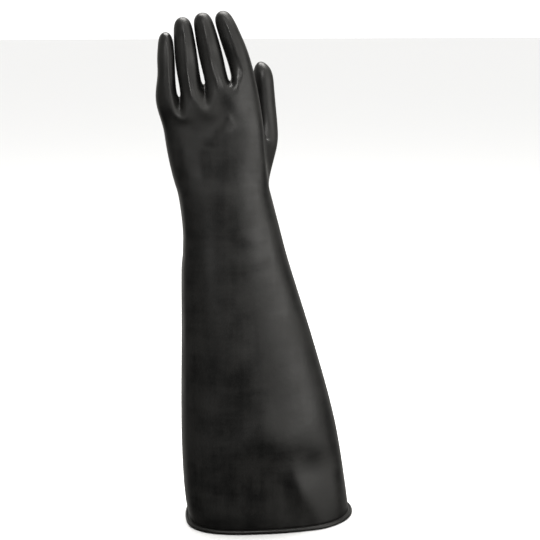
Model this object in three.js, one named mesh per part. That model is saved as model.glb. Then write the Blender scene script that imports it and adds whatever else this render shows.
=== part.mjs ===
// Long chemical-resistant latex glove, standing upright on its rolled cuff.
// +X is the thumb's side, -Y the back of the hand, +Z up to the fingertips. Millimetres.
// The rubber is one hollow wall: a coarse cage of quads is smoothed once, its outside is
// offset inward by the wall, and both skins meet in the bead that is rolled at the cuff.

import * as THREE from 'three';
import { mergeVertices } from 'three/addons/utils/BufferGeometryUtils.js';

// Film
const wall = 1.2;
const beadThickness = 6.2;

// Sleeve, outside sizes
const sleeveLength = 397;
const cuffWidth = 194;
const cuffDepth = 102;
const wristWidth = 105;
const wristDepth = 66;
const wristShift = 52;

// Hand, outside sizes
const palmLength = 126;
const knuckleDepth = 41;
const knuckleShift = 19;
const knuckleRise = 8;
const webWidth = 3;

// Fingers: width and depth at the first joint, length from the knuckle line
const littleWidth = 20;
const littleLength = 67;
const ringWidth = 25;
const ringLength = 77;
const middleWidth = 26;
const middleLength = 74;
const indexWidth = 25;
const indexLength = 73;
const fingerDepth = 23;
const fingerCurl = 11;
const fingertipGap = 0.8;
const fingertipShift = 12.5;

// Thumb: length from the middle of its root, stand away from the palm
const thumbWidth = 25;
const thumbDepth = 24;
const thumbLength = 105;
const thumbStand = 27;

// Sleeve from the rim up: height is a share of the sleeve, flare of the way from the wrist's
// size to the cuff's, shift of the wrist's shift; the squares shape the oval's two ends
const sleeveRows = [
  { height: 0.0, flare: 1.0, shift: 0.02, squareLittle: 3.0, squareThumb: 2.15, even: 1 },
  { height: 0.045, flare: 1.02, shift: 0.08, squareLittle: 2.8, squareThumb: 2.2, even: 1 },
  { height: 0.15, flare: 0.985, shift: 0.165, squareLittle: 2.6, squareThumb: 2.3, even: 1 },
  { height: 0.3, flare: 0.876, shift: 0.275, squareLittle: 2.5, squareThumb: 2.3, even: 1 },
  { height: 0.465, flare: 0.675, shift: 0.425, squareLittle: 2.4, squareThumb: 2.2, even: 1 },
  { height: 0.63, flare: 0.445, shift: 0.595, squareLittle: 2.3, squareThumb: 2.2, even: 0.9 },
  { height: 0.79, flare: 0.215, shift: 0.77, squareLittle: 2.3, squareThumb: 2.2, even: 0.7 },
  { height: 0.865, flare: 0.1, shift: 0.825, squareLittle: 2.3, squareThumb: 2.2, even: 0.55 },
  { height: 0.935, flare: 0.035, shift: 0.905, squareLittle: 2.3, squareThumb: 2.2, even: 0.4 },
];

// Palm from the wrist up: height is a share of the palm; shift, wide and deep are shares of
// the way from the wrist's place, width and depth to the knuckles'
const palmRows = [
  { height: 0.0, shift: 0.0, wide: 0.0, deep: 0.0, square: 2.25, even: 0.25 },
  { height: 0.11, shift: 0.13, wide: 0.3, deep: 0.15, square: 2.25, even: 0.15 },
  { height: 0.3, shift: 0.32, wide: 0.75, deep: 0.42, square: 2.3, even: 0.05 },
  { height: 0.5, shift: 0.5, wide: 0.92, deep: 0.7, square: 2.35, even: 0 },
  { height: 0.67, shift: 0.68, wide: 0.9, deep: 0.9, square: 2.4, even: 0 },
];

// Fingers from the little finger's side: root is the width at the knuckles and tip the width
// near the tip, both shares of the finger's width; drop lies below the middle finger's
// knuckle, as a share of the palm; bend shapes the sideways lean
const fingers = [
  { width: littleWidth, length: littleLength, root: 1.2, tip: 0.8, drop: 0.11, bend: 0.9 },
  { width: ringWidth, length: ringLength, root: 0.98, tip: 0.77, drop: 0.06, bend: 0.7 },
  { width: middleWidth, length: middleLength, root: 1.0, tip: 0.8, drop: 0, bend: 1.0 },
  { width: indexWidth, length: indexLength, root: 1.14, tip: 0.8, drop: -0.02, bend: 1.2 },
];

// Finger sections: height is a share of the finger's length, size of its width and depth
const fingerRows = [
  { height: 0.27, size: 1.0 },
  { height: 0.54, size: 0.97 },
  { height: 0.79, size: 0.86 },
  { height: 0.94, size: 0.62 },
];

// Crotches between the fingers: height over the knuckle line of the finger on the little
// finger's side, and the depth of the bowl below it on the back, both shares of the palm
const webs = [
  { crotch: 0.0, bowl: 0.125 },
  { crotch: 0.045, bowl: 0.145 },
  { crotch: 0.025, bowl: 0.06 },
];

// The row where the palm ends and the fingers begin, below each finger's knuckle line at the
// middle of its back and of its palm side, at the palm side of the webs, and at the hand's
// two outer sides, all shares of the palm
const knuckleRow = { back: 0.07, front: 0.1, web: 0.07, side: 0.05, sideBack: 0.02 };

// Thumb sections: rise is a share of its length, out of its stand, side of its width;
// swing turns the section round Z, lift raises its axis from level to upright, in degrees
const thumbRows = [
  { rise: 0.11, out: 0.36, side: 0.24, swing: 52, lift: 48, size: 1.12 },
  { rise: 0.31, out: 0.64, side: 0.33, swing: 62, lift: 74, size: 1.04 },
  { rise: 0.52, out: 0.79, side: 0.28, swing: 68, lift: 87, size: 1.0 },
  { rise: 0.73, out: 0.9, side: 0.23, swing: 70, lift: 92, size: 0.96 },
  { rise: 0.9, out: 0.96, side: 0.18, swing: 70, lift: 94, size: 0.8 },
];
const thumbTip = { out: 1.0, side: 0.1 };

// Dents in the sleeve: height and tall are shares of its length, angle and wide are degrees
// round the section (-90 is the middle of the back), push is a share of the wrist's depth
const dents = [
  { height: 0.22, tall: 0.06, angle: -56, wide: 16, push: 0.08 },
  { height: 0.06, tall: 0.08, angle: -62, wide: 11, push: 0.045 },
  { height: 0.07, tall: 0.07, angle: -38, wide: 12, push: -0.03 },
  { height: 0.45, tall: 0.3, angle: -58, wide: 16, push: -0.025 },
  { height: 0.825, tall: 0.024, angle: -178, wide: 40, push: 0.012 },
];

// The superellipse's exponent at the knuckles
const knuckleSquare = 2.4;

// Round the hand, three columns run up each finger's back, three up its palm side, and one
// up each outer side; a finger's ring has its own two sides, so it has eight points
const fingerCount = fingers.length;
const columnsPerFinger = 3;
const thumbSideColumn = columnsPerFinger * fingerCount;
const columnCount = 2 * thumbSideColumn + 2;
const littleSideColumn = columnCount - 1;
const firstPalmColumn = littleSideColumn - 1;
const cornerShare = Math.SQRT1_2;

// Smoothing
const fitRounds = 8;
const axisStep = 0.02;
const mergeDistance = 1e-4;

const mix = (from, to, share) => from + (to - from) * share;
const vector = (x, y, z) => new THREE.Vector3(x, y, z);
const radians = THREE.MathUtils.degToRad;
const degrees = THREE.MathUtils.radToDeg;

// A superellipse point: the angle runs from the thumb's side through the palm
function ovalPoint(angle, halfWidth, halfDepth, square) {
  const along = Math.cos(angle);
  const across = Math.sin(angle);
  const x = halfWidth * Math.sign(along) * Math.abs(along) ** (2 / square);
  const y = halfDepth * Math.sign(across) * Math.abs(across) ** (2 / square);
  return [x, y];
}

// Where the fingers stand side by side, at their roots and at their tips
function stackFingers(share, gap, middle) {
  const widths = fingers.map((finger) => finger.width * finger[share]);
  const total = widths.reduce((sum, width) => sum + width, 0) + gap * (fingerCount - 1);
  let edge = middle - total / 2;
  const centres = widths.map((width) => {
    const centre = edge + width / 2;
    edge += width + gap;
    return centre;
  });
  return { total, centres };
}

const knuckleX = -wristShift - knuckleShift;
const knuckleZ = sleeveLength + palmLength;
const roots = stackFingers('root', webWidth, knuckleX);
const tips = stackFingers('tip', fingertipGap, knuckleX - fingertipShift);
const knuckleWidth = roots.total;

// Column angles at the knuckles follow the finger roots; the even ones suit the sleeve
function columnAngles() {
  const hand = new Array(columnCount);
  fingers.forEach((finger, place) => {
    const halfRoot = finger.width * finger.root * 0.5 * cornerShare;
    [-halfRoot, 0, halfRoot].forEach((offset, step) => {
      const share = (roots.centres[place] + offset - knuckleX) / (knuckleWidth / 2);
      const angle = Math.acos(Math.sign(share) * Math.abs(share) ** (knuckleSquare / 2));
      hand[columnsPerFinger * place + step] = -angle;
      hand[firstPalmColumn - columnsPerFinger * place - step] = angle;
    });
  });
  hand[thumbSideColumn] = 0;
  hand[littleSideColumn] = Math.PI;
  const even = hand.map((_, column) => ((column - thumbSideColumn) * 2 * Math.PI) / columnCount);
  return { hand, even };
}

const angles = columnAngles();

function sleeveSection(row) {
  return {
    x: -wristShift * row.shift,
    y: 0,
    z: beadThickness + (sleeveLength - beadThickness) * row.height,
    width: mix(wristWidth, cuffWidth, row.flare),
    depth: mix(wristDepth, cuffDepth, row.flare),
    squareLittle: row.squareLittle,
    squareThumb: row.squareThumb,
    even: row.even,
    rise: 0,
  };
}

function palmSection(row) {
  return {
    x: -wristShift - knuckleShift * row.shift,
    y: 0,
    z: sleeveLength + palmLength * row.height,
    width: mix(wristWidth, knuckleWidth, row.wide),
    depth: mix(wristDepth, knuckleDepth, row.deep),
    squareLittle: row.square,
    squareThumb: row.square,
    even: row.even,
    rise: knuckleRise * row.shift,
  };
}

function sectionPoint(section, column) {
  const angle = mix(angles.hand[column], angles.even[column], section.even);
  const square = Math.cos(angle) < 0 ? section.squareLittle : section.squareThumb;
  const [x, y] = ovalPoint(angle, section.width / 2, section.depth / 2, square);
  const rise = (section.rise * x) / (section.width / 2);
  return vector(section.x + x, section.y + y, section.z + rise);
}

// The cage: targets are the places that the smooth skin passes through
const targets = [];
const quads = [];

function addPoint(point) {
  targets.push(point);
  return targets.length - 1;
}

function addBand(lower, upper) {
  const count = lower.length;
  for (let place = 0; place < count; place += 1) {
    const next = (place + 1) % count;
    quads.push([lower[place], lower[next], upper[next], upper[place]]);
  }
}

// Eight points round an oval section, from the corner at -across, -deep
function ringPoints(centre, across, deep, halfWidth, halfDepth) {
  const shares = [[-1, -1], [0, -1], [1, -1], [1, 0], [1, 1], [0, 1], [-1, 1], [-1, 0]];
  return shares.map(([side, depth]) => {
    const share = side !== 0 && depth !== 0 ? cornerShare : 1;
    return centre.clone()
      .addScaledVector(across, side * share * halfWidth)
      .addScaledVector(deep, depth * share * halfDepth);
  });
}

function addTube(rootRing, rings, tip) {
  let lower = rootRing;
  rings.forEach((points) => {
    const upper = points.map(addPoint);
    addBand(lower, upper);
    lower = upper;
  });
  const end = addPoint(tip);
  quads.push([lower[0], lower[1], end, lower[7]]);
  quads.push([lower[1], lower[2], lower[3], end]);
  quads.push([end, lower[3], lower[4], lower[5]]);
  quads.push([lower[7], end, lower[5], lower[6]]);
}

function addRow(section) {
  return angles.hand.map((_, column) => addPoint(sectionPoint(section, column)));
}

function addSleeve() {
  const rows = sleeveRows.map(sleeveSection).map(addRow);
  rows.slice(1).forEach((upper, band) => addBand(rows[band], upper));
  return rows[rows.length - 1];
}

// The thumb goes on at a hole of two by two quads, from this palm row and column
const thumbRootRow = 2;

function addPalm(sleeveTop) {
  const rows = [sleeveTop, ...palmRows.map(palmSection).map(addRow)];
  rows.slice(1).forEach((upper, band) => {
    const lower = rows[band];
    for (let column = 0; column < columnCount; column += 1) {
      const next = (column + 1) % columnCount;
      const openRow = band === thumbRootRow || band === thumbRootRow + 1;
      const openColumn = column === thumbSideColumn || column === thumbSideColumn + 1;
      if (!(openRow && openColumn)) {
        quads.push([lower[column], lower[next], upper[next], upper[column]]);
      }
    }
  });
  const [low, middle, high] = rows.slice(thumbRootRow);
  const [first, second, third] = [0, 1, 2].map((step) => thumbSideColumn + step);
  const thumbRing = [
    low[first], low[second], low[third], middle[third],
    high[third], high[second], high[first], middle[first],
  ];
  return { topRow: rows[rows.length - 1], thumbRing };
}

function knuckleHeight(place) {
  return knuckleZ - palmLength * fingers[place].drop;
}

// Height of the knuckle row beside a finger: the crotch, or the hand's outer side
function sideHeight(place, side) {
  const webPlace = side < 0 ? place - 1 : place;
  const web = webs[webPlace];
  if (!web) {
    return {
      crotch: knuckleHeight(place) - palmLength * knuckleRow.side,
      bowl: palmLength * knuckleRow.sideBack,
    };
  }
  return {
    crotch: knuckleHeight(webPlace) + palmLength * web.crotch,
    bowl: palmLength * web.bowl,
  };
}

// Half the hand's depth at the knuckles, at a place across it
function knuckleProfile(x) {
  const share = Math.min(Math.abs((x - knuckleX) / (knuckleWidth / 2)), 1);
  return (knuckleDepth / 2) * (1 - share ** knuckleSquare) ** (1 / knuckleSquare);
}

// The eight points where a finger begins, in the order of ringPoints
function fingerRoot(finger, place) {
  const centre = roots.centres[place];
  const halfRoot = (finger.width * finger.root) / 2;
  const corner = halfRoot * cornerShare;
  const near = sideHeight(place, -1);
  const far = sideHeight(place, 1);
  const middle = knuckleHeight(place);
  const back = (x, z) => addPoint(vector(x, -knuckleProfile(x), z));
  const front = (x, drop, z) => addPoint(vector(x, knuckleProfile(x), z - palmLength * drop));
  return [
    back(centre - corner, near.crotch - near.bowl),
    back(centre, middle - palmLength * knuckleRow.back),
    back(centre + corner, far.crotch - far.bowl),
    addPoint(vector(centre + halfRoot, 0, far.crotch)),
    front(centre + corner, knuckleRow.web, far.crotch),
    front(centre, knuckleRow.front, middle),
    front(centre - corner, knuckleRow.web, near.crotch),
    addPoint(vector(centre - halfRoot, 0, near.crotch)),
  ];
}

// The top row of the palm runs through the finger roots; webs of two quads join them
function addKnuckles(topRow) {
  const rings = fingers.map(fingerRoot);
  const row = new Array(columnCount);
  rings.forEach((ring, place) => {
    const back = columnsPerFinger * place;
    const front = firstPalmColumn - back;
    [row[back], row[back + 1], row[back + 2]] = ring;
    [row[front - 2], row[front - 1], row[front]] = ring.slice(4, 7);
  });
  row[littleSideColumn] = rings[0][7];
  row[thumbSideColumn] = rings[fingerCount - 1][3];
  addBand(topRow, row);
  for (let place = 0; place < fingerCount - 1; place += 1) {
    const near = rings[place];
    const far = rings[place + 1];
    quads.push([near[2], far[0], far[7], near[3]]);
    quads.push([near[3], far[7], far[6], near[4]]);
  }
  return rings;
}

function fingerCentre(place, share) {
  const finger = fingers[place];
  const x = mix(roots.centres[place], tips.centres[place], share ** finger.bend);
  const y = fingerCurl * share * share;
  return vector(x, y, knuckleHeight(place) + finger.length * share);
}

function addFinger(rootRing, place) {
  const finger = fingers[place];
  const rings = fingerRows.map((row) => {
    const centre = fingerCentre(place, row.height);
    const axis = fingerCentre(place, row.height + axisStep);
    axis.sub(fingerCentre(place, row.height - axisStep)).normalize();
    const across = vector(1, 0, 0).addScaledVector(axis, -axis.x).normalize();
    const deep = axis.clone().cross(across);
    const halfSize = row.size / 2;
    return ringPoints(centre, across, deep, finger.width * halfSize, fingerDepth * halfSize);
  });
  addTube(rootRing, rings, fingerCentre(place, 1));
}

function addThumb(rootRing) {
  const root = vector(0, 0, 0);
  rootRing.forEach((index) => root.add(targets[index]));
  root.divideScalar(rootRing.length);
  const rings = thumbRows.map((row) => {
    const swing = radians(row.swing);
    const lift = radians(row.lift);
    const centre = root.clone();
    centre.add(vector(thumbWidth * row.side, thumbStand * row.out, thumbLength * row.rise));
    const axis = vector(
      Math.cos(lift) * Math.cos(swing),
      Math.cos(lift) * Math.sin(swing),
      Math.sin(lift),
    );
    const across = vector(-Math.sin(swing), Math.cos(swing), 0);
    const deep = axis.clone().cross(across);
    const halfSize = row.size / 2;
    return ringPoints(centre, across, deep, thumbWidth * halfSize, thumbDepth * halfSize);
  });
  const tip = root.clone();
  tip.add(vector(thumbWidth * thumbTip.side, thumbStand * thumbTip.out, thumbLength));
  addTube(rootRing, rings, tip);
}

const edgeKey = (from, to) => `${Math.min(from, to)}_${Math.max(from, to)}`;

// Edges of a quad mesh with the quads on each
function edgeMap(faces) {
  const edges = new Map();
  faces.forEach((face, faceIndex) => {
    face.forEach((from, corner) => {
      const to = face[(corner + 1) % 4];
      const key = edgeKey(from, to);
      if (!edges.has(key)) {
        edges.set(key, { from: Math.min(from, to), to: Math.max(from, to), faces: [] });
      }
      edges.get(key).faces.push(faceIndex);
    });
  });
  return edges;
}

// Neighbours of each vertex: along edges, across quads, and along the open rim
function neighbourLists(faces, pointCount) {
  const lists = Array.from({ length: pointCount }, () => ({ along: [], across: [], rim: [] }));
  faces.forEach((face) => {
    face.forEach((index, corner) => {
      lists[index].across.push(face[(corner + 2) % 4]);
    });
  });
  edgeMap(faces).forEach((edge) => {
    lists[edge.from].along.push(edge.to);
    lists[edge.to].along.push(edge.from);
    if (edge.faces.length === 1) {
      lists[edge.from].rim.push(edge.to);
      lists[edge.to].rim.push(edge.from);
    }
  });
  return lists;
}

const sumOf = (points, indices) => indices.reduce(
  (sum, index) => sum.add(points[index]),
  vector(0, 0, 0),
);

// Catmull-Clark limit positions of a quad mesh; the point in the thumb's hole is on no quad
function limitPoints(points, lists) {
  return points.map((point, index) => {
    const list = lists[index];
    const valence = list.along.length;
    if (valence === 0) {
      return point.clone();
    }
    if (list.rim.length) {
      return point.clone().multiplyScalar(4).add(sumOf(points, list.rim)).divideScalar(6);
    }
    return point.clone().multiplyScalar(valence * valence)
      .addScaledVector(sumOf(points, list.along), 4)
      .add(sumOf(points, list.across))
      .divideScalar(valence * (valence + 5));
  });
}

// Moves the cage until its limit skin passes through the targets
function fitCage(goals, faces) {
  const lists = neighbourLists(faces, goals.length);
  let cage = goals.map((goal) => goal.clone());
  for (let round = 0; round < fitRounds; round += 1) {
    const limits = limitPoints(cage, lists);
    cage = cage.map((point, index) => point.clone().add(goals[index]).sub(limits[index]));
  }
  return cage;
}

// One Catmull-Clark step
function subdivide(points, faces) {
  const lists = neighbourLists(faces, points.length);
  const facePoints = faces.map((face) => sumOf(points, face).divideScalar(4));
  const around = points.map(() => []);
  faces.forEach((face, faceIndex) => face.forEach((index) => around[index].push(faceIndex)));
  const smooth = points.map((point, index) => {
    const list = lists[index];
    const valence = list.along.length;
    if (valence === 0) {
      return point.clone();
    }
    if (list.rim.length) {
      return point.clone().multiplyScalar(6).add(sumOf(points, list.rim)).divideScalar(8);
    }
    const faceMean = sumOf(facePoints, around[index]).divideScalar(valence);
    const edgeMean = sumOf(points, list.along).divideScalar(valence).add(point).divideScalar(2);
    return faceMean.addScaledVector(edgeMean, 2).addScaledVector(point, valence - 3)
      .divideScalar(valence);
  });
  facePoints.forEach((point) => smooth.push(point));
  const edgeIndex = new Map();
  edgeMap(faces).forEach((edge, key) => {
    const ends = points[edge.from].clone().add(points[edge.to]);
    const point = edge.faces.length === 1
      ? ends.divideScalar(2)
      : ends.add(facePoints[edge.faces[0]]).add(facePoints[edge.faces[1]]).divideScalar(4);
    edgeIndex.set(key, smooth.length);
    smooth.push(point);
  });
  const middleOf = (from, to) => edgeIndex.get(edgeKey(from, to));
  const split = [];
  faces.forEach((face, faceIndex) => {
    face.forEach((index, corner) => {
      const next = middleOf(index, face[(corner + 1) % 4]);
      const previous = middleOf(face[(corner + 3) % 4], index);
      split.push([index, next, points.length + faceIndex, previous]);
    });
  });
  return { points: smooth, faces: split };
}

function vertexNormals(points, faces) {
  const normals = points.map(() => vector(0, 0, 0));
  faces.forEach((face) => {
    const first = points[face[2]].clone().sub(points[face[0]]);
    const second = points[face[3]].clone().sub(points[face[1]]);
    const normal = first.cross(second);
    face.forEach((index) => normals[index].add(normal));
  });
  return normals.map((normal) => normal.normalize());
}

// Degrees round the sleeve's section at a point, with the section between the table's rows
function angleRound(point, sections) {
  const found = sections.findIndex((section) => section.z > point.z);
  const above = found < 0 ? sections.length - 1 : Math.max(found, 1);
  const low = sections[above - 1];
  const high = sections[above];
  const share = THREE.MathUtils.clamp((point.z - low.z) / (high.z - low.z), 0, 1);
  const across = (point.x - mix(low.x, high.x, share)) / mix(low.width, high.width, share);
  const deep = point.y / mix(low.depth, high.depth, share);
  return degrees(Math.atan2(deep, across));
}

// Presses the dents into the skin, along its normals
function pressDents(points, normals) {
  const sections = sleeveRows.map(sleeveSection);
  return points.map((point, index) => {
    const angle = angleRound(point, sections);
    let push = 0;
    dents.forEach((dent) => {
      const up = (point.z / sleeveLength - dent.height) / dent.tall;
      const turn = THREE.MathUtils.euclideanModulo(angle - dent.angle + 180, 360) - 180;
      const round = turn / dent.wide;
      push += dent.push * wristDepth * Math.exp(-up * up - round * round);
    });
    return point.clone().addScaledVector(normals[index], -push);
  });
}

// The open rim's vertices in order
function rimLoop(faces) {
  const follow = new Map();
  const edges = edgeMap(faces);
  faces.forEach((face) => {
    face.forEach((from, corner) => {
      const to = face[(corner + 1) % 4];
      if (edges.get(edgeKey(from, to)).faces.length === 1) {
        follow.set(from, to);
      }
    });
  });
  const start = follow.keys().next().value;
  const loop = [start];
  for (let at = follow.get(start); at !== start; at = follow.get(at)) {
    loop.push(at);
  }
  return loop;
}

// Bead section: degrees round its middle from the neck over the outside to the film's
// inside; the two foot points lie flat on the floor
const beadRadius = beadThickness / 2;
const neckAngle = 180 - degrees(Math.acos((beadRadius - wall) / beadRadius));
const footAngle = -60;
const beadAngles = [neckAngle, 85, 40, -5, footAngle, -180 - footAngle, 180];
const footShare = Math.sin(radians(footAngle));

function buildShell() {
  const wristRow = addSleeve();
  const palm = addPalm(wristRow);
  const fingerRings = addKnuckles(palm.topRow);
  fingerRings.forEach(addFinger);
  addThumb(palm.thumbRing);

  const level = subdivide(fitCage(targets, quads), quads);
  const limit = limitPoints(level.points, neighbourLists(level.faces, level.points.length));
  const outer = pressDents(limit, vertexNormals(limit, level.faces));
  const normals = vertexNormals(outer, level.faces);
  const loop = rimLoop(level.faces);
  loop.forEach((index) => normals[index].setZ(0).normalize());
  const inner = outer.map((point, index) => point.clone().addScaledVector(normals[index], -wall));

  const points = [...outer, ...inner];
  const faces = level.faces.map((face) => [...face]);
  level.faces.forEach((face) => {
    faces.push([...face].reverse().map((index) => index + outer.length));
  });

  let above = loop;
  beadAngles.forEach((angle) => {
    const turn = radians(angle);
    const out = beadRadius * (1 + Math.cos(turn));
    const height = beadRadius * (Math.sin(turn) - footShare);
    const row = loop.map((index) => {
      const point = inner[index].clone().addScaledVector(normals[index], out).setZ(height);
      points.push(point);
      return points.length - 1;
    });
    addRimBand(faces, above, row);
    above = row;
  });
  addRimBand(faces, above, loop.map((index) => index + outer.length));
  return { points, faces };
}

// The loop runs with the solid above it, so a band hangs below its upper row
function addRimBand(faces, upper, lower) {
  upper.forEach((index, place) => {
    const next = (place + 1) % upper.length;
    faces.push([upper[next], index, lower[place], lower[next]]);
  });
}

function quadGeometry({ points, faces }) {
  const position = new Float32Array(points.length * 3);
  points.forEach((point, index) => point.toArray(position, 3 * index));
  const triangles = [];
  faces.forEach(([a, b, c, d]) => {
    const short = points[a].distanceTo(points[c]) <= points[b].distanceTo(points[d]);
    const pair = short ? [a, b, c, a, c, d] : [a, b, d, b, c, d];
    triangles.push(...pair);
  });
  const geometry = new THREE.BufferGeometry();
  geometry.setAttribute('position', new THREE.BufferAttribute(position, 3));
  geometry.setIndex(triangles);
  return mergeVertices(geometry, mergeDistance);
}

const blackLatex = new THREE.MeshStandardMaterial({
  color: 0x262624,
  roughness: 0.48,
  metalness: 0,
});

const shell = new THREE.Mesh(quadGeometry(buildShell()), blackLatex);
shell.name = 'glove_shell';

// The origin is the middle of the glove's box, on the floor
const box = new THREE.Box3().setFromObject(shell);
const glove = new THREE.Group();
glove.add(shell);
shell.position.set(-(box.min.x + box.max.x) / 2, -(box.min.y + box.max.y) / 2, -box.min.z);

export default glove;
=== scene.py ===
# Long black latex gauntlet glove, standing upright on its rolled cuff. Metres, +Z up.
# +X is the thumb's side, -Y the back of the hand.
import math

import bmesh
import bpy
import numpy as np
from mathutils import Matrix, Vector


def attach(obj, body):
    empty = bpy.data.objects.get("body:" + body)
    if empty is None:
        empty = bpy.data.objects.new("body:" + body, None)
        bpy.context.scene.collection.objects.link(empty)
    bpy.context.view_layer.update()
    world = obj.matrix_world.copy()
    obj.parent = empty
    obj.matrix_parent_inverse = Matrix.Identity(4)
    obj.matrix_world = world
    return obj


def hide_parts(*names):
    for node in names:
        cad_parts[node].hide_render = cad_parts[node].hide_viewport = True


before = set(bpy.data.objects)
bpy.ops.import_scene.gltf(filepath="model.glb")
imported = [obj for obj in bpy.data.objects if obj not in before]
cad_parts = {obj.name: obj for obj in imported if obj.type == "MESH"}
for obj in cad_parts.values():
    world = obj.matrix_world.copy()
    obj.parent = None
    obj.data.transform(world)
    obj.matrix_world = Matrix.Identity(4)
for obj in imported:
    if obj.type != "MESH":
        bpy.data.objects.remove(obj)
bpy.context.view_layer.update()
scene = bpy.context.scene
print("frame loaded")


# a socket that takes part in Python sums, and the one way to any other node
class Wire:
    def __init__(self, tree, socket=None):
        self.tree = tree
        self.socket = socket

    def add(self, kind, settings=None, sockets=None, output=0):
        node = self.tree.nodes.new(kind)
        for name, value in (settings or {}).items():
            setattr(node, name, value)
        for name, value in (sockets or {}).items():
            if isinstance(value, Wire):
                self.tree.links.new(value.socket, node.inputs[name])
            else:
                node.inputs[name].default_value = value
        return Wire(self.tree, node.outputs[output] if len(node.outputs) else None)

    def out(self, name):                    # another output of the same node
        return Wire(self.tree, self.socket.node.outputs[name])

    def math(self, operation, first, second=0.0, third=0.0):
        return self.add("ShaderNodeMath", {"operation": operation},
                        {0: first, 1: second, 2: third})

    def __add__(self, other):
        return self.math("ADD", self, other)

    def __radd__(self, other):
        return self.math("ADD", other, self)

    def __sub__(self, other):
        return self.math("SUBTRACT", self, other)

    def __rsub__(self, other):
        return self.math("SUBTRACT", other, self)

    def __mul__(self, other):
        return self.math("MULTIPLY", self, other)

    def __rmul__(self, other):
        return self.math("MULTIPLY", other, self)

    def __truediv__(self, other):
        return self.math("DIVIDE", self, other)

    def ramp(self, start, end, low=0.0, high=1.0):      # smooth step from start to end
        return self.add("ShaderNodeMapRange", {"interpolation_type": "SMOOTHSTEP"}, {
            "Value": self, "From Min": start, "From Max": end, "To Min": low, "To Max": high})


# camera at the photograph's angle, a little above the floor's level
view = {
    "place": (-0.12165, -1.28134, 0.6213),
    "forward": (0.101537, 0.966062, -0.237515),
    "lens": 76.33,
    "sensor": 36.0,
}
cameraData = bpy.data.cameras.new("photoCamera")
cameraData.lens = view["lens"]
cameraData.sensor_width = view["sensor"]
cameraData.clip_end = 100.0
camera = bpy.data.objects.new("photoCamera", cameraData)
camera.location = view["place"]
camera.rotation_euler = Vector(view["forward"]).to_track_quat("-Z", "Y").to_euler()
scene.collection.objects.link(camera)
scene.camera = camera
print("camera set")


# black dipped latex: satin, faintly clouded and brushed, with a fine grain
latex = {
    "deep": (0.0019, 0.0019, 0.0018, 1.0),
    "worn": (0.0058, 0.0055, 0.0047, 1.0),
    "cloudScale": 24.0,
    "cloudShare": 0.62,
    "brushScale": 9.0,
    "brushLong": 110.0,
    "brushUpShare": 0.6,
    "brushLevel": 1.6,
    "wornFrom": 0.36,
    "wornTo": 0.64,
    "grainScale": 900.0,
    "smooth": 0.31,
    "rough": 0.49,
    "grainRough": 0.05,
    "cloudBump": 0.0006,
    "brushBump": 0.00008,
    "grainBump": 0.00002,
}


def makeLatex(name, finish):
    material = bpy.data.materials.new(name)
    material.use_nodes = True
    tree = material.node_tree
    tree.nodes.clear()
    w = Wire(tree)
    place = w.add("ShaderNodeTexCoord").out("Object")
    cloud = w.add("ShaderNodeTexNoise", None,
                  {"Vector": place, "Scale": finish["cloudScale"], "Detail": 3.0, "Roughness": 0.55})
    long, short = finish["brushLong"], finish["brushScale"]
    upright = w.add("ShaderNodeMapping", None, {"Vector": place, "Scale": (long, long, short)})
    brushUp = w.add("ShaderNodeTexNoise", None, {"Vector": upright, "Scale": 1.0, "Detail": 4.0})
    level = w.add("ShaderNodeMapping", None, {"Vector": place, "Scale": (short, short, long)})
    brushAcross = w.add("ShaderNodeTexNoise", None,
                        {"Vector": level, "Scale": finish["brushLevel"], "Detail": 4.0})
    grain = w.add("ShaderNodeTexNoise", None,
                  {"Vector": place, "Scale": finish["grainScale"], "Detail": 2.0})
    brush = brushUp * finish["brushUpShare"] + brushAcross * (1 - finish["brushUpShare"])
    mottle = cloud * finish["cloudShare"] + brush * (1 - finish["cloudShare"])
    share = mottle.ramp(finish["wornFrom"], finish["wornTo"])
    colour = w.add("ShaderNodeMix", {"data_type": "RGBA"},
                   {0: share, 6: finish["deep"], 7: finish["worn"]}, 2)
    gloss = (finish["smooth"] + (finish["rough"] - finish["smooth"]) * share
             + (grain - 0.5) * finish["grainRough"])
    relief = (cloud * finish["cloudBump"] + brush * finish["brushBump"]
              + grain * finish["grainBump"])
    bump = w.add("ShaderNodeBump", None, {"Height": relief, "Strength": 1.0, "Distance": 1.0})
    shader = w.add("ShaderNodeBsdfPrincipled", None, {
        "Base Color": colour,
        "Roughness": gloss,
        "Normal": bump,
        "IOR": 1.52,
        "Specular IOR Level": 0.5,
    })
    w.add("ShaderNodeOutputMaterial", None, {"Surface": shader})
    return material


blackLatex = makeLatex("blackLatex", latex)
print("latex made")


# outside sizes of the glove, the same as in the CAD model
glove = {
    "place": (0.013019, 0.0, 0.0),
    "wall": 0.0012,
    "bead": 0.0062,
    "sleeveLength": 0.397,
    "cuffWidth": 0.194,
    "cuffDepth": 0.102,
    "wristWidth": 0.105,
    "wristDepth": 0.066,
    "wristShift": 0.052,
    "palmLength": 0.126,
    "knuckleDepth": 0.041,
    "knuckleShift": 0.019,
    "knuckleRise": 0.008,
    "knuckleSquare": 2.4,
    "webWidth": 0.003,
    "fingerDepth": 0.023,
    "fingerCurl": 0.011,
    "tipGap": 0.0008,
    "tipShift": 0.0125,
    "thumbWidth": 0.025,
    "thumbDepth": 0.024,
    "thumbLength": 0.105,
    "thumbStand": 0.027,
    "smoothSteps": 3,
}

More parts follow.
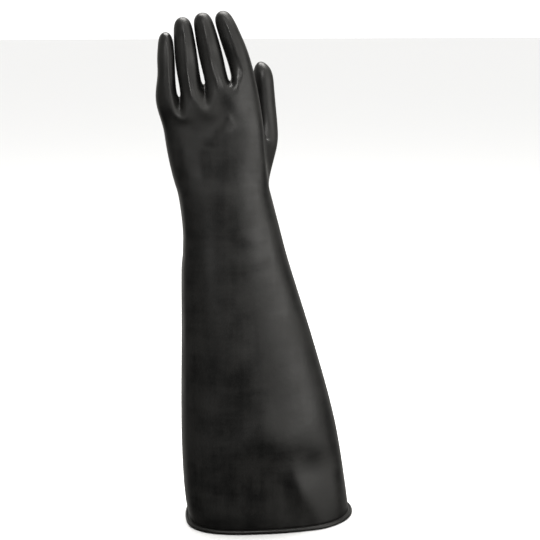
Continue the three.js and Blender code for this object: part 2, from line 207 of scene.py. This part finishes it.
# height, flare, shift, squareLittle, squareThumb, even
sleeveRows = [
    (0.0, 1.0, 0.02, 3.0, 2.15, 1.0),
    (0.045, 1.02, 0.08, 2.8, 2.2, 1.0),
    (0.15, 0.985, 0.165, 2.6, 2.3, 1.0),
    (0.3, 0.876, 0.275, 2.5, 2.3, 1.0),
    (0.465, 0.675, 0.425, 2.4, 2.2, 1.0),
    (0.63, 0.445, 0.595, 2.3, 2.2, 0.9),
    (0.79, 0.215, 0.77, 2.3, 2.2, 0.7),
    (0.865, 0.1, 0.825, 2.3, 2.2, 0.55),
    (0.935, 0.035, 0.905, 2.3, 2.2, 0.4),
]

# height, shift, wide, deep, square, even
palmRows = [
    (0.0, 0.0, 0.0, 0.0, 2.25, 0.25),
    (0.11, 0.13, 0.3, 0.15, 2.25, 0.15),
    (0.3, 0.32, 0.75, 0.42, 2.3, 0.05),
    (0.5, 0.5, 0.92, 0.7, 2.35, 0.0),
    (0.67, 0.68, 0.9, 0.9, 2.4, 0.0),
]

# width, length, root, tip, drop, bend: little, ring, middle, index
fingers = [
    (0.020, 0.067, 1.2, 0.8, 0.11, 0.9),
    (0.025, 0.077, 0.98, 0.77, 0.06, 0.7),
    (0.026, 0.074, 1.0, 0.8, 0.0, 1.0),
    (0.025, 0.073, 1.14, 0.8, -0.02, 1.2),
]
fingerRows = [(0.27, 1.0), (0.54, 0.97), (0.79, 0.86), (0.94, 0.62)]   # height, size
webs = [(0.0, 0.125), (0.045, 0.145), (0.025, 0.06)]                   # crotch, bowl
knuckleRow = {"back": 0.07, "front": 0.1, "web": 0.07, "side": 0.05, "sideBack": 0.02}

# rise, out, side, swing, lift, size
thumbRows = [
    (0.11, 0.36, 0.24, 52, 48, 1.12),
    (0.31, 0.64, 0.33, 62, 74, 1.04),
    (0.52, 0.79, 0.28, 68, 87, 1.0),
    (0.73, 0.9, 0.23, 70, 92, 0.96),
    (0.9, 0.96, 0.18, 70, 94, 0.8),
]
thumbTip = {"out": 1.0, "side": 0.1}

# height, tall, angle, wide, push
dents = [
    (0.22, 0.06, -56, 16, 0.08),
    (0.06, 0.08, -62, 11, 0.045),
    (0.07, 0.07, -38, 12, -0.03),
    (0.45, 0.3, -58, 16, -0.025),
    (0.825, 0.024, -178, 40, 0.012),
]

fingerCount = len(fingers)
thumbSide = 3 * fingerCount
columnCount = 2 * thumbSide + 2
littleSide = columnCount - 1
corner = math.sqrt(0.5)
axisStep = 0.02


def blend(start, end, share):
    return start + (end - start) * share


def stackFingers(column, gap, middle):
    widths = [finger[0] * finger[column] for finger in fingers]
    total = sum(widths) + gap * (fingerCount - 1)
    edge = middle - total / 2
    centres = []
    for width in widths:
        centres.append(edge + width / 2)
        edge += width + gap
    return total, centres


knuckleX = -glove["wristShift"] - glove["knuckleShift"]
knuckleWidth, rootCentres = stackFingers(2, glove["webWidth"], knuckleX)
tipCentres = stackFingers(3, glove["tipGap"], knuckleX - glove["tipShift"])[1]


def columnAngles():                         # at the fingers' roots, and evenly round
    hand = [0.0] * columnCount
    for place, finger in enumerate(fingers):
        half = finger[0] * finger[2] * 0.5 * corner
        for step, offset in enumerate((-half, 0.0, half)):
            share = (rootCentres[place] + offset - knuckleX) / (knuckleWidth / 2)
            angle = math.acos(math.copysign(abs(share) ** (glove["knuckleSquare"] / 2), share))
            hand[3 * place + step] = -angle
            hand[littleSide - 1 - 3 * place - step] = angle
    hand[littleSide] = math.pi
    even = [(column - thumbSide) * 2 * math.pi / columnCount for column in range(columnCount)]
    return hand, even


handAngles, evenAngles = columnAngles()


def sleeveSection(row):
    height, flare, shift, squareLittle, squareThumb, even = row
    return {
        "x": -glove["wristShift"] * shift,
        "z": glove["bead"] + (glove["sleeveLength"] - glove["bead"]) * height,
        "width": blend(glove["wristWidth"], glove["cuffWidth"], flare),
        "depth": blend(glove["wristDepth"], glove["cuffDepth"], flare),
        "squares": (squareLittle, squareThumb),
        "even": even,
        "rise": 0.0,
    }


def palmSection(row):
    height, shift, wide, deep, square, even = row
    return {
        "x": -glove["wristShift"] - glove["knuckleShift"] * shift,
        "z": glove["sleeveLength"] + glove["palmLength"] * height,
        "width": blend(glove["wristWidth"], knuckleWidth, wide),
        "depth": blend(glove["wristDepth"], glove["knuckleDepth"], deep),
        "squares": (square, square),
        "even": even,
        "rise": glove["knuckleRise"] * shift,
    }


def sectionPoint(section, column):
    angle = blend(handAngles[column], evenAngles[column], section["even"])
    along, across = math.cos(angle), math.sin(angle)
    square = section["squares"][0 if along < 0 else 1]
    x = section["width"] / 2 * math.copysign(abs(along) ** (2 / square), along)
    y = section["depth"] / 2 * math.copysign(abs(across) ** (2 / square), across)
    rise = section["rise"] * x / (section["width"] / 2)
    return np.array((section["x"] + x, y, section["z"] + rise))


targets = []                                # places that the smooth skin passes through
quads = []


def addPoint(point):
    targets.append(np.array(point, float))
    return len(targets) - 1


def addBand(lower, upper):
    count = len(lower)
    for place in range(count):
        follow = (place + 1) % count
        quads.append((lower[place], lower[follow], upper[follow], upper[place]))


def addRow(section):
    return [addPoint(sectionPoint(section, column)) for column in range(columnCount)]


def addSleeve():
    rows = [addRow(sleeveSection(row)) for row in sleeveRows]
    for lower, upper in zip(rows, rows[1:]):
        addBand(lower, upper)
    return rows[-1]


def addPalm(sleeveTop):                     # with a hole of two by two quads for the thumb
    rows = [sleeveTop] + [addRow(palmSection(row)) for row in palmRows]
    for band, (lower, upper) in enumerate(zip(rows, rows[1:])):
        for column in range(columnCount):
            follow = (column + 1) % columnCount
            if band in (2, 3) and column in (thumbSide, thumbSide + 1):
                continue
            quads.append((lower[column], lower[follow], upper[follow], upper[column]))
    low, middle, high = rows[2:5]
    a, b, c = thumbSide, thumbSide + 1, thumbSide + 2
    hole = [low[a], low[b], low[c], middle[c], high[c], high[b], high[a], middle[a]]
    return rows[-1], hole


def knuckleHeight(place):
    return glove["sleeveLength"] + glove["palmLength"] * (1 - fingers[place][4])


def sideHeight(place, side):
    web = place - 1 if side < 0 else place
    if web < 0 or web >= len(webs):
        crotch = knuckleHeight(place) - glove["palmLength"] * knuckleRow["side"]
        return crotch, glove["palmLength"] * knuckleRow["sideBack"]
    crotch, bowl = webs[web]
    return knuckleHeight(web) + glove["palmLength"] * crotch, glove["palmLength"] * bowl


def knuckleProfile(x):
    share = min(abs((x - knuckleX) / (knuckleWidth / 2)), 1.0)
    square = glove["knuckleSquare"]
    return glove["knuckleDepth"] / 2 * (1 - share ** square) ** (1 / square)


def fingerRoot(place):
    centre = rootCentres[place]
    half = fingers[place][0] * fingers[place][2] / 2
    side = half * corner
    nearCrotch, nearBowl = sideHeight(place, -1)
    farCrotch, farBowl = sideHeight(place, 1)
    middle = knuckleHeight(place)
    palm = glove["palmLength"]

    def back(x, z):
        return addPoint((x, -knuckleProfile(x), z))

    def front(x, drop, z):
        return addPoint((x, knuckleProfile(x), z - palm * drop))

    return [
        back(centre - side, nearCrotch - nearBowl),
        back(centre, middle - palm * knuckleRow["back"]),
        back(centre + side, farCrotch - farBowl),
        addPoint((centre + half, 0, farCrotch)),
        front(centre + side, knuckleRow["web"], farCrotch),
        front(centre, knuckleRow["front"], middle),
        front(centre - side, knuckleRow["web"], nearCrotch),
        addPoint((centre - half, 0, nearCrotch)),
    ]


def addKnuckles(topRow):
    rings = [fingerRoot(place) for place in range(fingerCount)]
    row = [0] * columnCount
    for place, ring in enumerate(rings):
        back = 3 * place
        front = littleSide - 1 - back
        row[back:back + 3] = ring[0:3]
        row[front - 2:front + 1] = ring[4:7]
    row[littleSide] = rings[0][7]
    row[thumbSide] = rings[-1][3]
    addBand(topRow, row)
    for near, far in zip(rings, rings[1:]):
        quads.append((near[2], far[0], far[7], near[3]))
        quads.append((near[3], far[7], far[6], near[4]))
    return rings


def ringPoints(centre, across, deep, halfWidth, halfDepth):
    around = [(-1, -1), (0, -1), (1, -1), (1, 0), (1, 1), (0, 1), (-1, 1), (-1, 0)]
    points = []
    for side, depth in around:
        share = corner if side and depth else 1.0
        points.append(centre + across * side * share * halfWidth + deep * depth * share * halfDepth)
    return points


def addTube(root, rings, tip):
    lower = root
    for points in rings:
        upper = [addPoint(point) for point in points]
        addBand(lower, upper)
        lower = upper
    end = addPoint(tip)
    quads.append((lower[0], lower[1], end, lower[7]))
    quads.append((lower[1], lower[2], lower[3], end))
    quads.append((end, lower[3], lower[4], lower[5]))
    quads.append((lower[7], end, lower[5], lower[6]))


def fingerCentre(place, share):
    x = blend(rootCentres[place], tipCentres[place], share ** fingers[place][5])
    return np.array((x, glove["fingerCurl"] * share * share,
                     knuckleHeight(place) + fingers[place][1] * share))


def addFinger(root, place):
    rings = []
    for height, size in fingerRows:
        axis = fingerCentre(place, height + axisStep) - fingerCentre(place, height - axisStep)
        axis /= np.linalg.norm(axis)
        across = np.array((1.0, 0.0, 0.0)) - axis * axis[0]
        across /= np.linalg.norm(across)
        deep = np.cross(axis, across)
        rings.append(ringPoints(fingerCentre(place, height), across, deep,
                                fingers[place][0] * size / 2, glove["fingerDepth"] * size / 2))
    addTube(root, rings, fingerCentre(place, 1.0))


def addThumb(hole):
    root = sum(targets[index] for index in hole) / len(hole)
    rings = []
    for rise, out, side, swingDegrees, liftDegrees, size in thumbRows:
        swing, lift = math.radians(swingDegrees), math.radians(liftDegrees)
        centre = root + np.array((glove["thumbWidth"] * side, glove["thumbStand"] * out,
                                  glove["thumbLength"] * rise))
        axis = np.array((math.cos(lift) * math.cos(swing), math.cos(lift) * math.sin(swing),
                         math.sin(lift)))
        across = np.array((-math.sin(swing), math.cos(swing), 0.0))
        deep = np.cross(axis, across)
        rings.append(ringPoints(centre, across, deep,
                                glove["thumbWidth"] * size / 2, glove["thumbDepth"] * size / 2))
    tip = root + np.array((glove["thumbWidth"] * thumbTip["side"],
                           glove["thumbStand"] * thumbTip["out"], glove["thumbLength"]))
    addTube(hole, rings, tip)


def fitCage(goals, faces, rounds=8):        # so that the subdivision's limit meets the goals
    count = len(goals)
    along = [set() for _ in range(count)]
    across = [[] for _ in range(count)]
    edges = {}
    for face in faces:
        for place, index in enumerate(face):
            follow = face[(place + 1) % 4]
            key = (min(index, follow), max(index, follow))
            edges[key] = edges.get(key, 0) + 1
            along[index].add(follow)
            along[follow].add(index)
            across[index].append(face[(place + 2) % 4])
    rim = [[] for _ in range(count)]
    for (start, end), used in edges.items():
        if used == 1:
            rim[start].append(end)
            rim[end].append(start)
    limit = np.zeros((count, count))
    for index in range(count):
        if rim[index]:
            limit[index, index] = 4 / 6
            for other in rim[index]:
                limit[index, other] += 1 / 6
            continue
        valence = len(along[index])
        total = valence * (valence + 5)
        limit[index, index] += valence * valence / total
        for other in along[index]:
            limit[index, other] += 4 / total
        for other in across[index]:
            limit[index, other] += 1 / total
    cage = goals.copy()
    for _ in range(rounds):
        cage += goals - limit @ cage
    return cage


rings = addPalm(addSleeve())
fingerRings = addKnuckles(rings[0])
for place, ring in enumerate(fingerRings):
    addFinger(ring, place)
addThumb(rings[1])
used = sorted({index for quad in quads for index in quad})      # not the point in the thumb's hole
number = {index: place for place, index in enumerate(used)}
quads = [tuple(number[index] for index in quad) for quad in quads]
cage = fitCage(np.array([targets[index] for index in used]), quads)
print("cage:", len(cage), "points,", len(quads), "quads")


def newObject(name, mesh):
    thing = bpy.data.objects.new(name, mesh)
    scene.collection.objects.link(thing)
    return thing


def meshFrom(name, points, faces):
    mesh = bpy.data.meshes.new(name)
    mesh.from_pydata([tuple(point) for point in points], [], faces)
    mesh.update()
    return mesh


def settle(thing):                          # the evaluated shape becomes the plain mesh
    bpy.context.view_layer.update()
    evaluated = thing.evaluated_get(bpy.context.evaluated_depsgraph_get())
    mesh = bpy.data.meshes.new_from_object(evaluated)
    thing.modifiers.clear()
    old = thing.data
    thing.data = mesh
    if isinstance(old, bpy.types.Mesh):
        bpy.data.meshes.remove(old)
    return thing


def readPoints(mesh):
    points = np.zeros(len(mesh.vertices) * 3)
    mesh.vertices.foreach_get("co", points)
    normals = np.zeros(len(mesh.vertices) * 3)
    mesh.vertex_normals.foreach_get("vector", normals)
    return points.reshape(-1, 3), normals.reshape(-1, 3)


def writePoints(mesh, points):
    mesh.vertices.foreach_set("co", points.reshape(-1))
    mesh.update()


film = newObject("latex_film", meshFrom("latex_film", cage, quads))
smooth = film.modifiers.new("smooth", "SUBSURF")
smooth.levels = glove["smoothSteps"]
smooth.render_levels = glove["smoothSteps"]
smooth.use_limit_surface = True
smooth.boundary_smooth = "ALL"
settle(film)
print("film:", len(film.data.vertices), "points")


# the dents of the CAD model, pressed along the normals
def pressDents(points, normals):
    sections = [sleeveSection(row) for row in sleeveRows]
    heights = [section["z"] for section in sections]
    middle = np.interp(points[:, 2], heights, [section["x"] for section in sections])
    width = np.interp(points[:, 2], heights, [section["width"] for section in sections])
    depth = np.interp(points[:, 2], heights, [section["depth"] for section in sections])
    angle = np.degrees(np.arctan2(points[:, 1] / depth, (points[:, 0] - middle) / width))
    push = np.zeros(len(points))
    for height, tall, centre, wide, share in dents:
        up = (points[:, 2] / glove["sleeveLength"] - height) / tall
        turn = (np.mod(angle - centre + 180, 360) - 180) / wide
        push += share * glove["wristDepth"] * np.exp(-up * up - turn * turn)
    return points - normals * push[:, None]


points, normals = readPoints(film.data)
points = pressDents(points, normals) + np.array(glove["place"])
writePoints(film.data, points)

# ridges along lines on the film: rise, width and points in millimetres
lines = [
    {"rise": 0.8, "wide": 1.4, "path": [
        (-101.3, 0.0, 570.4), (-99.5, -4.5, 557.7), (-99.9, -8.3, 540.7), (-99.7, -10.5, 525.7),
        (-98.4, -13.2, 512.9), (-96.5, -14.5, 503.2), (-94.4, -16.3, 496.8), (-91.3, -16.6, 493.0),
        (-88.0, -15.7, 492.3), (-84.7, -17.1, 494.6), (-82.4, -17.8, 501.2), (-82.1, -15.4, 512.9),
        (-83.0, -13.5, 519.3)]},
    {"rise": 0.85, "wide": 1.4, "path": [
        (-82.6, -0.9, 583.2), (-80.8, -5.8, 568.4), (-80.1, -8.4, 550.2), (-78.9, -11.4, 534.2),
        (-76.7, -17.0, 516.3), (-74.7, -19.6, 507.8), (-71.6, -20.7, 502.5), (-67.2, -20.9, 500.3)]},
    {"rise": 0.8, "wide": 1.6, "path": [
        (-60.6, -0.4, 589.5), (-56.9, -6.9, 568.3), (-53.0, -9.9, 545.9), (-51.1, -13.0, 536.3),
        (-48.1, -16.3, 527.9), (-46.1, -19.0, 519.4), (-45.2, -20.6, 512.0)]},
    {"rise": 0.85, "wide": 1.4, "path": [
        (-37.6, -0.3, 591.6), (-31.5, -5.5, 576.7), (-24.3, -9.5, 553.2), (-20.1, -11.1, 542.5),
        (-18.1, -12.6, 533.9), (-19.4, -14.7, 526.5), (-23.5, -16.8, 521.2), (-29.5, -16.1, 519.0),
        (-33.8, -14.9, 520.6)]},
    {"rise": 0.7, "wide": 8.0, "path": [
        (-30.7, -20.8, 488.0), (-40.6, -21.5, 481.7), (-49.6, -22.3, 471.9), (-54.3, -23.7, 462.2),
        (-56.7, -25.1, 453.4)]},
]


# soft swellings and hollows of the back, in millimetres: place, sizes along, through and
# across, the turn of the long way from level in degrees, and the rise
lumps = [
    {"at": (18.0, -47.0, 112.0), "size": (48.0, 40.0, 25.0), "turn": 24, "rise": 5.2},
    {"at": (-12.0, -49.0, 122.0), "size": (36.0, 40.0, 15.0), "turn": 60, "rise": 2.6},
    {"at": (57.0, -41.0, 96.0), "size": (26.0, 40.0, 20.0), "turn": 10, "rise": 4.6},
    {"at": (32.0, -47.0, 91.0), "size": (18.0, 40.0, 9.0), "turn": 32, "rise": -1.1},
    {"at": (52.0, -45.0, 36.0), "size": (46.0, 40.0, 16.0), "turn": 116, "rise": 5.6},
    {"at": (28.0, -49.0, 46.0), "size": (42.0, 40.0, 8.0), "turn": 96, "rise": -1.3},
    {"at": (26.0, -38.0, 240.0), "size": (120.0, 40.0, 27.0), "turn": 104, "rise": -2.6},
    {"at": (-19.0, -42.0, 183.0), "size": (133.0, 40.0, 22.0), "turn": 110, "rise": 2.2},
    {"at": (-84.0, -20.0, 310.0), "size": (110.0, 30.0, 7.0), "turn": 90, "rise": 1.2},
    {"at": (-53.0, -26.0, 435.0), "size": (36.0, 40.0, 9.0), "turn": 92, "rise": -0.8},
    {"at": (-9.0, -22.0, 446.0), "size": (21.0, 40.0, 16.0), "turn": 90, "rise": 0.9},
    {"at": (-10.0, -36.0, 325.0), "size": (30.0, 40.0, 9.0), "turn": 8, "rise": 0.8},
    {"at": (-18.0, -34.0, 352.0), "size": (20.0, 40.0, 9.0), "turn": -20, "rise": 0.5},
    {"at": (-27.0, -34.0, 400.0), "size": (46.0, 40.0, 24.0), "turn": 0, "rise": -1.3},
    {"at": (-39.0, -22.0, 478.0), "size": (25.0, 40.0, 8.0), "turn": 42, "rise": 1.2},
    {"at": (-64.0, -15.0, 511.0), "size": (3.5, 10.0, 3.5), "turn": 0, "rise": 1.0},
]


facing = {
    "lumpFrom": 0.1,        # lumps start where the normal looks this much to the front
    "lumpOver": 0.45,       # and are full this much further on, so the outline stays as it is
    "lineFrom": 0.3,        # lines fade on what looks this much to the palm's side
    "lineEnds": 0.12,       # share of a line that fades at each end
}


def easeIn(share):
    return share * share * (3 - 2 * share)


def raiseLumps(points, normals):
    push = np.zeros(len(points))
    for lump in lumps:
        away = points * 1000 - np.array(lump["at"])
        long, deep, short = lump["size"]
        turn = math.radians(lump["turn"])
        along = (away[:, 0] * math.cos(turn) + away[:, 2] * math.sin(turn)) / long
        across = (away[:, 2] * math.cos(turn) - away[:, 0] * math.sin(turn)) / short
        push += lump["rise"] / 1000 * np.exp(-along ** 2 - across ** 2 - (away[:, 1] / deep) ** 2)
    front = np.clip((-normals[:, 1] - facing["lumpFrom"]) / facing["lumpOver"], 0.0, 1.0)
    return points + normals * (push * easeIn(front))[:, None]


def lineShare(points, path):                # nearness to a line, and how far along it
    best = np.full(len(points), 1e9)
    along = np.zeros(len(points))
    lengths = [np.linalg.norm(b - a) for a, b in zip(path, path[1:])]
    run = 0.0
    for a, b, length in zip(path, path[1:], lengths):
        step = np.clip((points - a) @ (b - a) / length ** 2, 0.0, 1.0)
        gap = np.linalg.norm(points - (a + step[:, None] * (b - a)), axis=1)
        nearer = gap < best
        best = np.where(nearer, gap, best)
        along = np.where(nearer, (run + step * length) / sum(lengths), along)
        run += length
    return best, along


def roundPath(path, steps=4):               # a Catmull-Rom line through the points
    ends = np.vstack([2 * path[0] - path[1], path, 2 * path[-1] - path[-2]])
    line = []
    for a, b, c, d in zip(ends, ends[1:], ends[2:], ends[3:]):
        for step in range(steps):
            t = step / steps
            line.append(0.5 * (2 * b + (c - a) * t + (2 * a - 5 * b + 4 * c - d) * t ** 2
                               + (3 * b - a - 3 * c + d) * t ** 3))
    line.append(path[-1])
    return line


def raiseLines(points, normals):
    push = np.zeros(len(points))
    for line in lines:
        path = roundPath(np.array(line["path"]) / 1000)
        gap, along = lineShare(points, path)
        fade = easeIn(np.clip(np.minimum(along, 1 - along) / facing["lineEnds"], 0.0, 1.0))
        front = np.clip(facing["lineFrom"] - normals[:, 1], 0.0, 1.0)
        push += line["rise"] / 1000 * fade * front * np.exp(-(gap / (line["wide"] / 1000)) ** 2)
    return points + normals * push[:, None]


points, normals = readPoints(film.data)
points = raiseLines(raiseLumps(points, normals), normals)
writePoints(film.data, points)
print("forms raised")


# the film's hem goes down inside the roll, and the film gets its wall
roll = {
    "radius": 0.0031,
    "footDegrees": 60.0,
    "sides": 28,
    "grooveDepth": 0.5,
    "grooveDegrees": -98.0,
    "grooveWide": 26.0,
    "uneven": 0.05,
    "ripple": 26.0,
    "seed": 4.0,
}
rollHeight = roll["radius"] * math.sin(math.radians(roll["footDegrees"]))


def rimOf(mesh):                            # the open rim's points in order
    bm = bmesh.new()
    bm.from_mesh(mesh)
    edge = next(edge for edge in bm.edges if edge.is_boundary)
    first = vert = edge.verts[0]
    loop = []
    while True:
        loop.append(vert.index)
        vert = edge.other_vert(vert)
        if vert == first:
            break
        edge = next(other for other in vert.link_edges if other.is_boundary and other != edge)
    bm.free()
    return loop


rim = rimOf(film.data)
points, normals = readPoints(film.data)
rimPoints = points[rim]
rimNormals = normals[rim] * np.array((1.0, 1.0, 0.0))
rimNormals /= np.linalg.norm(rimNormals, axis=1)[:, None]


def addHem(mesh, depth):
    bm = bmesh.new()
    bm.from_mesh(mesh)
    border = [edge for edge in bm.edges if edge.is_boundary]
    made = bmesh.ops.extrude_edge_only(bm, edges=border)["geom"]
    for vert in made:
        if isinstance(vert, bmesh.types.BMVert):
            vert.co.z = depth
    bmesh.ops.recalc_face_normals(bm, faces=bm.faces)
    bm.to_mesh(mesh)
    bm.free()


addHem(film.data, rollHeight)
thick = film.modifiers.new("wall", "SOLIDIFY")
thick.thickness = glove["wall"]
thick.offset = -1.0
thick.use_quality_normals = True
settle(film)
film.data.materials.clear()
film.data.materials.append(blackLatex)
film.data.shade_smooth()
print("film with its wall:", len(film.data.polygons), "faces")


# rolled bead: a circle with a groove runs along the rim, flat where it stands
def rollTree():
    tree = bpy.data.node_groups.new("rolledBead", "GeometryNodeTree")
    tree.interface.new_socket("Rim", in_out="INPUT", socket_type="NodeSocketGeometry")
    for name, start in (("Radius", roll["radius"]), ("Groove Depth", roll["grooveDepth"]),
                        ("Groove Angle", math.radians(roll["grooveDegrees"])),
                        ("Groove Width", math.radians(roll["grooveWide"])),
                        ("Uneven", roll["uneven"]), ("Ripple", roll["ripple"]),
                        ("Seed", roll["seed"])):
        socket = tree.interface.new_socket(name, in_out="INPUT", socket_type="NodeSocketFloat")
        socket.default_value = start
    sides = tree.interface.new_socket("Sides", in_out="INPUT", socket_type="NodeSocketInt")
    sides.default_value = roll["sides"]
    tree.interface.new_socket("Bead", in_out="OUTPUT", socket_type="NodeSocketGeometry")
    w = Wire(tree)
    given = w.add("NodeGroupInput")
    radius = given.out("Radius")
    circle = w.add("GeometryNodeCurvePrimitiveCircle", {"mode": "RADIUS"},
                   {"Radius": radius, "Resolution": given.out("Sides")})
    spot = w.add("GeometryNodeInputPosition")
    parts = w.add("ShaderNodeSeparateXYZ", None, {"Vector": spot})
    angle = w.math("ARCTAN2", parts.out("Y"), parts.out("X"))
    away = (angle - given.out("Groove Angle")) / given.out("Groove Width")
    notch = given.out("Groove Depth") * w.math("EXPONENT", away * away * -1.0)
    cut = w.add("ShaderNodeVectorMath", {"operation": "SCALE"}, {"Vector": spot, "Scale": 1.0 - notch})
    profile = w.add("GeometryNodeSetPosition", None, {"Geometry": circle, "Position": cut})
    path = w.add("GeometryNodeMeshToCurve", None, {"Mesh": given.out("Rim")})
    path = w.add("GeometryNodeSetCurveNormal", {"mode": "Z_UP"}, {"Curve": path})
    ripple = w.add("ShaderNodeTexNoise", {"noise_dimensions": "4D"},
                   {"Vector": spot, "W": given.out("Seed"), "Scale": given.out("Ripple"), "Detail": 1.0})
    size = 1.0 + (ripple - 0.5) * given.out("Uneven")
    path = w.add("GeometryNodeSetCurveRadius", None, {"Curve": path, "Radius": size})
    tube = w.add("GeometryNodeCurveToMesh", None, {"Curve": path, "Profile Curve": profile})
    floorParts = w.add("ShaderNodeSeparateXYZ", None, {"Vector": spot})
    footed = w.add("ShaderNodeCombineXYZ", None, {
        "X": floorParts.out("X"), "Y": floorParts.out("Y"),
        "Z": w.math("MAXIMUM", floorParts.out("Z"), 0.0)})
    tube = w.add("GeometryNodeSetPosition", None, {"Geometry": tube, "Position": footed})
    tube = w.add("GeometryNodeRealizeInstances", None, {"Geometry": tube})
    tube = w.add("GeometryNodeSetMaterial", None, {"Geometry": tube, "Material": blackLatex})
    w.add("NodeGroupOutput", None, {"Bead": tube})
    return tree


path = rimPoints + rimNormals * (roll["radius"] - glove["wall"])
path[:, 2] = rollHeight
rimMesh = bpy.data.meshes.new("rolled_bead")
rimMesh.from_pydata([tuple(point) for point in path],
                    [(place, (place + 1) % len(path)) for place in range(len(path))], [])
bead = newObject("rolled_bead", rimMesh)
rolling = bead.modifiers.new("roll", "NODES")
rolling.node_group = rollTree()
for item in rolling.node_group.interface.items_tree:
    if item.in_out == "INPUT" and item.socket_type != "NodeSocketGeometry":
        rolling[item.identifier] = item.default_value
settle(bead)
bead.data.shade_smooth()
print("bead:", len(bead.data.polygons), "faces")

for piece in (film, bead):
    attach(piece, "root")
    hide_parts("glove_shell")


# plain pale floor and background
studio = {
    "floorWide": 9.0,
    "floorFront": -3.0,
    "floorBack": 14.0,
    "floorColour": (0.86, 0.86, 0.855, 1.0),
    "sky": (1.0, 1.0, 1.0, 1.0),
    "skyGloss": (1.0, 0.98, 0.93, 1.0),
    "skyFloor": 1.15,       # what the camera and dull surfaces get from the sky
    "glossLow": 0.02,       # what mirrors in the rubber from below and from above
    "glossHigh": 0.3,
    "glossBehind": 0.45,    # and from the pale wall behind the glove
    "glossRight": 0.9,      # and from the bright side, down to the table
    "riseFrom": -0.45,      # heights and sides of the ways between which these ease in
    "riseTo": 0.35,
    "behindFrom": 0.2,
    "behindTo": 0.85,
    "rightFrom": 0.15,
    "rightTo": 0.7,
    "frontFrom": 0.1,
    "frontTo": -0.45,
    "aboveFrom": -0.65,
    "aboveTo": -0.3,
    "floorRough": 0.55,
    "speckleScale": 90.0,
    "speckleRough": 0.08,
}


def makeFloor():
    material = bpy.data.materials.new("paleFloor")
    material.use_nodes = True
    tree = material.node_tree
    tree.nodes.clear()
    w = Wire(tree)
    place = w.add("ShaderNodeTexCoord").out("Object")
    speckle = w.add("ShaderNodeTexNoise", None,
                    {"Vector": place, "Scale": studio["speckleScale"], "Detail": 4.0})
    shader = w.add("ShaderNodeBsdfPrincipled", None, {
        "Base Color": studio["floorColour"],
        "Roughness": studio["floorRough"] + (speckle - 0.5) * studio["speckleRough"],
    })
    w.add("ShaderNodeOutputMaterial", None, {"Surface": shader})
    wide, front, back = studio["floorWide"], studio["floorFront"], studio["floorBack"]
    mesh = meshFrom("floor", [(-wide, front, 0), (wide, front, 0), (wide, back, 0), (-wide, back, 0)],
                    [(0, 1, 2, 3)])
    mesh.materials.append(material)
    floor = newObject("floor", mesh)
    floor.visible_glossy = False            # the rubber mirrors the soft boxes and the sky alone


def makeSky():
    world = bpy.data.worlds.new("whiteStudio")
    world.use_nodes = True
    tree = world.node_tree
    tree.nodes.clear()
    w = Wire(tree)
    way = w.add("ShaderNodeSeparateXYZ", None,
                {"Vector": w.add("ShaderNodeTexCoord").out("Generated")})
    x, y, z = way.out("X"), way.out("Y"), way.out("Z")
    rise = z.ramp(studio["riseFrom"], studio["riseTo"], studio["glossLow"], studio["glossHigh"])
    behind = y.ramp(studio["behindFrom"], studio["behindTo"], 0.0, studio["glossBehind"])
    right = x.ramp(studio["rightFrom"], studio["rightTo"], 0.0, studio["glossRight"])
    front = y.ramp(studio["frontFrom"], studio["frontTo"])
    above = z.ramp(studio["aboveFrom"], studio["aboveTo"])
    mirrored = rise + behind + right * front * above
    gloss = w.add("ShaderNodeLightPath").out("Is Glossy Ray")
    strength = studio["skyFloor"] + (mirrored - studio["skyFloor"]) * gloss
    colour = w.add("ShaderNodeMix", {"data_type": "RGBA"},
                   {0: gloss, 6: studio["sky"], 7: studio["skyGloss"]}, 2)
    glow = w.add("ShaderNodeBackground", None, {"Color": colour, "Strength": strength})
    w.add("ShaderNodeOutputWorld", None, {"Surface": glow})
    scene.world = world


# soft boxes: place, what they look at, width and height, power
lampColour = (1.0, 0.985, 0.955)
lamps = [
    {"name": "keySoft", "at": (1.4, -1.4, 0.54), "to": (0.0, 0.0, 0.25), "size": (1.7, 0.95),
     "power": 8.0},
    {"name": "topSoft", "at": (0.1, 0.35, 1.9), "to": (-0.03, 0.0, 0.4), "size": (1.3, 0.8),
     "power": 46.0},
    {"name": "leftSoft", "at": (-0.9, -1.8, 0.42), "to": (0.0, 0.0, 0.3), "size": (0.6, 0.6),
     "power": 1.8},
    {"name": "fingerSoft", "at": (-0.15, -1.6, 1.6), "to": (-0.05, 0.0, 0.56), "size": (0.5, 0.3),
     "power": 9.0},
]


def makeLamps():
    for lamp in lamps:
        data = bpy.data.lights.new(lamp["name"], "AREA")
        data.shape = "RECTANGLE"
        data.size, data.size_y = lamp["size"]
        data.energy = lamp["power"]
        data.color = lampColour
        thing = bpy.data.objects.new(lamp["name"], data)
        thing.location = lamp["at"]
        thing.visible_camera = False
        aim = Vector(lamp["to"]) - Vector(lamp["at"])
        thing.rotation_euler = aim.to_track_quat("-Z", "Y").to_euler()
        scene.collection.objects.link(thing)


makeFloor()
makeSky()
makeLamps()
scene.view_settings.view_transform = "Standard"
print("studio lit")
